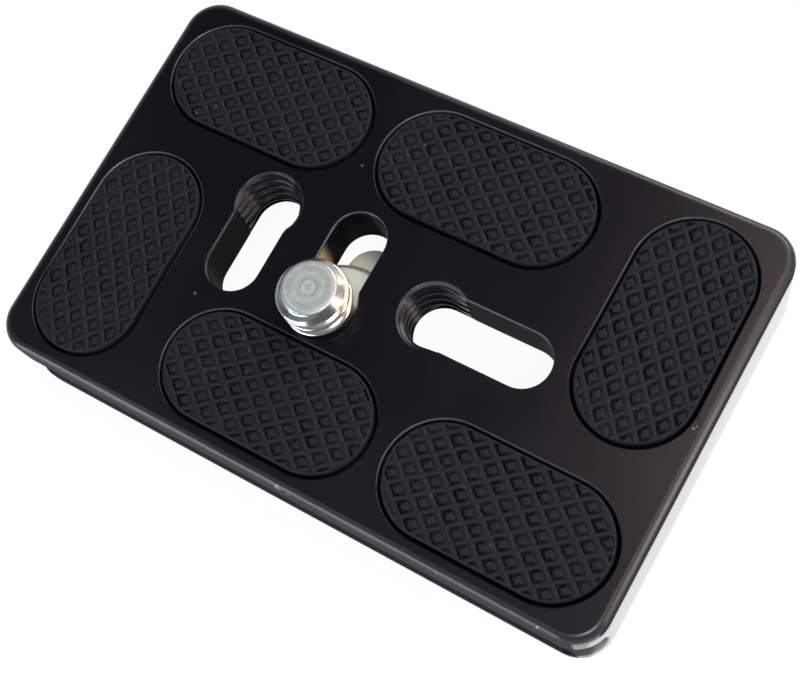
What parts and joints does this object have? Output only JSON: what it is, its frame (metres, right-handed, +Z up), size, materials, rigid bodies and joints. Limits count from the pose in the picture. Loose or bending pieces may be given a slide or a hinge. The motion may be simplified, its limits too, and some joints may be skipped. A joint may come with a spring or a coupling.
{
  "type": "quick release plate",
  "caption": "Quick release plate for a tripod ball head: dovetail plate with rubber pads, slots and a sliding captive camera screw with a fold-flat handle.",
  "frame": {"origin": "on the bottom face, under the middle of the plate", "axes": "+X along the dovetail, +Y across it towards the back pads, +Z up towards the camera"},
  "size_m": [0.0604, 0.038, 0.014],
  "materials": {
    "black_metal": "black anodised, satin",
    "pad_rubber": "moulded, matt",
    "bright_steel": "turned and plated",
    "handle_steel": "stamped and plated",
    "washer_nylon": "natural nylon"
  },
  "bodies": {
    "plate": {"plate_body": "black_metal", "pad_back_left": "pad_rubber", "pad_back_middle": "pad_rubber", "pad_right": "pad_rubber", "pad_front_right": "pad_rubber", "pad_front_middle": "pad_rubber", "pad_left": "pad_rubber"},
    "washer": {"friction_washer": "washer_nylon"},
    "screw": {"camera_screw": "bright_steel", "handle_pin": "bright_steel"},
    "handle": {"screw_handle": "handle_steel"}
  },
  "joints": [
    {"name": "screw_slide", "type": "slide", "parent": "plate", "child": "washer", "axis": [0, 1, 0], "range_m": [0, 0.0066]},
    {"name": "screw_turn", "type": "hinge", "parent": "washer", "child": "screw", "pos_m": [-0.0038, -0.0033, 0.0039], "axis": [0, 0, 1], "continuous": true},
    {"name": "handle_fold", "type": "hinge", "parent": "screw", "child": "handle", "pos_m": [-0.0038, -0.0033, 0.002], "axis": [-1, 0, 0], "range_deg": [0, 180]}
  ]
}
